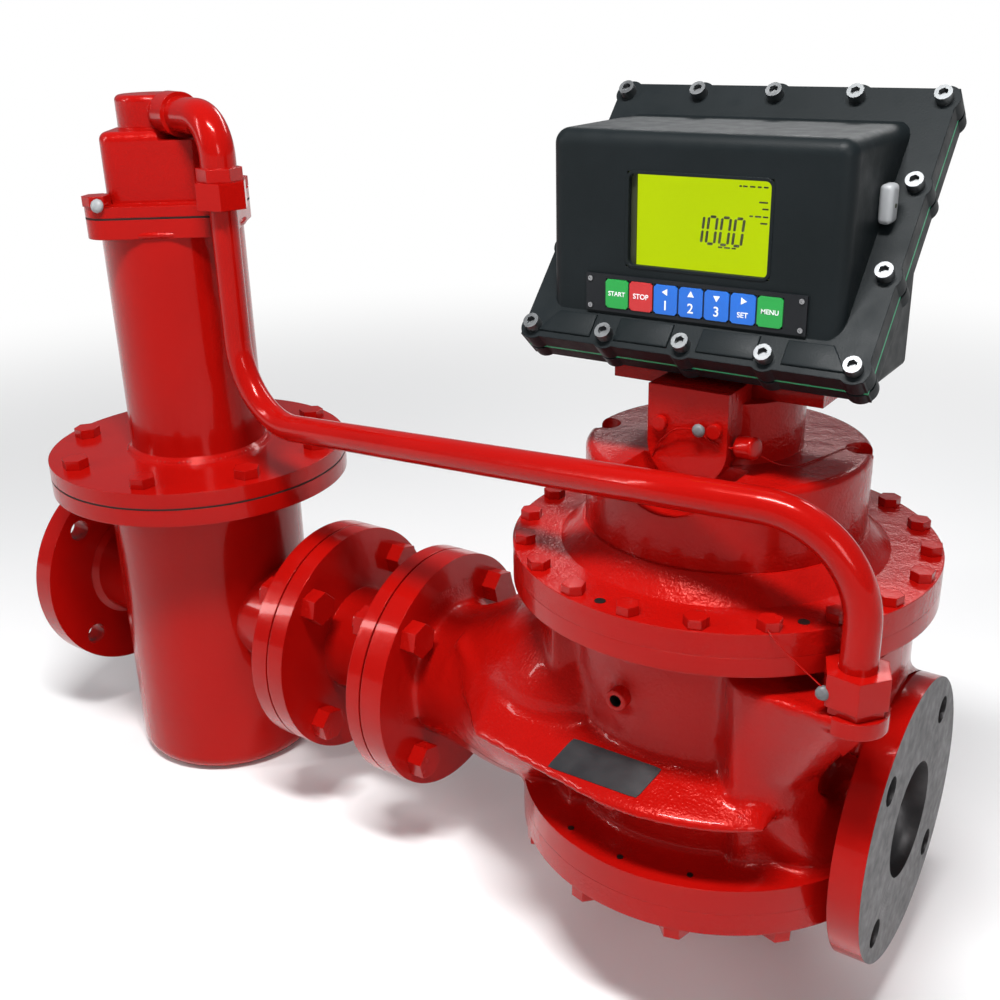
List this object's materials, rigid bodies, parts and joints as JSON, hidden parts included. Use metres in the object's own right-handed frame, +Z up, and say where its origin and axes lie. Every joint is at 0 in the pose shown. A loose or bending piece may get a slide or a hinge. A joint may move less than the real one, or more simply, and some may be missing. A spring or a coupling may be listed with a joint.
{
  "type": "positive-displacement fuel meter",
  "caption": "Flanged rotary fuel meter with an electronic preset register, in line with a non-return valve and a strainer with a float-vented air eliminator.",
  "frame": {"origin": "centre of the inlet flange's face, on the pipe axis", "axes": "+X along the flow from inlet to outlet, +Z up along the meter's axis, the register faces -Y"},
  "size_m": [0.7816, 0.282, 0.5931],
  "materials": {
    "red_paint": "glossy paint",
    "red_casting": "glossy paint on a rough casting",
    "red_bolts": "glossy paint on bolts",
    "black_case": "satin powder coat",
    "stainless": "bright stainless steel",
    "zinc_steel": "zinc-plated steel",
    "inner_steel": "machined steel",
    "inner_aluminium": "machined aluminium",
    "brass": "machined brass",
    "gasket_green": "smooth rubber",
    "gasket_dark": "matt fibre gasket",
    "window_clear": "clear window",
    "display": "lit display",
    "board_green": "circuit board",
    "strip_black": "matt membrane strip",
    "key_green": "membrane key",
    "key_red": "membrane key",
    "key_blue": "membrane key",
    "seal_grey": "grey moulded cap"
  },
  "bodies": {
    "meter_set": {"inlet_flange": "red_paint", "strainer_vessel": "red_paint", "strainer_cover": "red_paint", "valve_body": "red_paint", "vent_elbow": "red_paint", "vent_tube": "red_paint", "upper_union_nut": "red_paint", "lower_union_nut": "red_paint", "outlet_fitting": "red_paint", "air_head": "red_casting", "meter_body": "red_casting", "top_cover": "red_casting", "bottom_cover": "red_casting", "gear_housing": "red_casting", "adjuster_cover": "red_casting", "register_base": "red_casting", "cover_bolts": "red_bolts", "head_bolts": "red_bolts", "flange_bolts": "red_bolts", "top_cover_bolts": "red_bolts", "front_cover": "black_case", "rear_housing": "black_case", "register_bolts": "stainless", "strainer_basket": "stainless", "float_guide": "stainless", "seal_screws": "zinc_steel", "flap_pin": "inner_steel", "measuring_chamber": "inner_aluminium", "lower_bearing_plate": "inner_aluminium", "upper_bearing_plate": "inner_aluminium", "vent_seat": "brass", "valve_seat": "brass", "rotor_bushes": "brass", "register_gasket": "gasket_green", "cover_gasket": "gasket_dark", "head_gasket": "gasket_dark", "flange_gaskets": "gasket_dark", "cover_seal_ring": "gasket_dark", "window": "window_clear", "display_module": "display", "circuit_board": "board_green", "pulse_sensor": "board_green", "keypad_frame": "strip_black", "seal_cap": "seal_grey"},
    "float_body": {"float": "stainless"},
    "flap_body": {"valve_flap": "inner_steel"},
    "near_rotor_set": {"near_rotor": "inner_aluminium", "near_timing_gear": "inner_steel", "drive_pinion": "inner_steel"},
    "far_rotor_set": {"far_rotor": "inner_aluminium", "far_timing_gear": "inner_steel"},
    "output_set": {"output_shaft": "inner_steel", "pulse_wheel": "inner_steel"},
    "key_1_body": {"key_1": "key_green"},
    "key_2_body": {"key_2": "key_red"},
    "key_3_body": {"key_3": "key_blue"},
    "key_4_body": {"key_4": "key_blue"},
    "key_5_body": {"key_5": "key_blue"},
    "key_6_body": {"key_6": "key_blue"},
    "key_7_body": {"key_7": "key_green"}
  },
  "joints": [
    {"name": "float_rise", "type": "slide", "parent": "meter_set", "child": "float_body", "axis": [0, 0, 1], "range_m": [0, 0.008]},
    {"name": "flap_swing", "type": "hinge", "parent": "meter_set", "child": "flap_body", "pos_m": [0.3086, 0, 0.0325], "axis": [0, -1, 0], "range_deg": [0, 55]},
    {"name": "near_rotor_turn", "type": "hinge", "parent": "meter_set", "child": "near_rotor_set", "pos_m": [0.636, -0.034, 0], "axis": [0, 0, 1], "continuous": true},
    {"name": "far_rotor_turn", "type": "hinge", "parent": "meter_set", "child": "far_rotor_set", "pos_m": [0.636, 0.034, 0], "axis": [0, 0, 1], "continuous": true},
    {"name": "output_turn", "type": "hinge", "parent": "meter_set", "child": "output_set", "pos_m": [0.636, 0, 0], "axis": [0, 0, 1], "continuous": true},
    {"name": "key_1_press", "type": "slide", "parent": "meter_set", "child": "key_1_body", "axis": [0, 1, 0], "range_m": [0, 0.0006], "stiffness_N_per_m": 400},
    {"name": "key_2_press", "type": "slide", "parent": "meter_set", "child": "key_2_body", "axis": [0, 1, 0], "range_m": [0, 0.0006], "stiffness_N_per_m": 400},
    {"name": "key_3_press", "type": "slide", "parent": "meter_set", "child": "key_3_body", "axis": [0, 1, 0], "range_m": [0, 0.0006], "stiffness_N_per_m": 400},
    {"name": "key_4_press", "type": "slide", "parent": "meter_set", "child": "key_4_body", "axis": [0, 1, 0], "range_m": [0, 0.0006], "stiffness_N_per_m": 400},
    {"name": "key_5_press", "type": "slide", "parent": "meter_set", "child": "key_5_body", "axis": [0, 1, 0], "range_m": [0, 0.0006], "stiffness_N_per_m": 400},
    {"name": "key_6_press", "type": "slide", "parent": "meter_set", "child": "key_6_body", "axis": [0, 1, 0], "range_m": [0, 0.0006], "stiffness_N_per_m": 400},
    {"name": "key_7_press", "type": "slide", "parent": "meter_set", "child": "key_7_body", "axis": [0, 1, 0], "range_m": [0, 0.0006], "stiffness_N_per_m": 400}
  ],
  "couplings": [
    {"joint": "far_rotor_turn", "follows": "near_rotor_turn", "ratio": -1},
    {"joint": "output_turn", "follows": "near_rotor_turn", "ratio": -0.7}
  ]
}
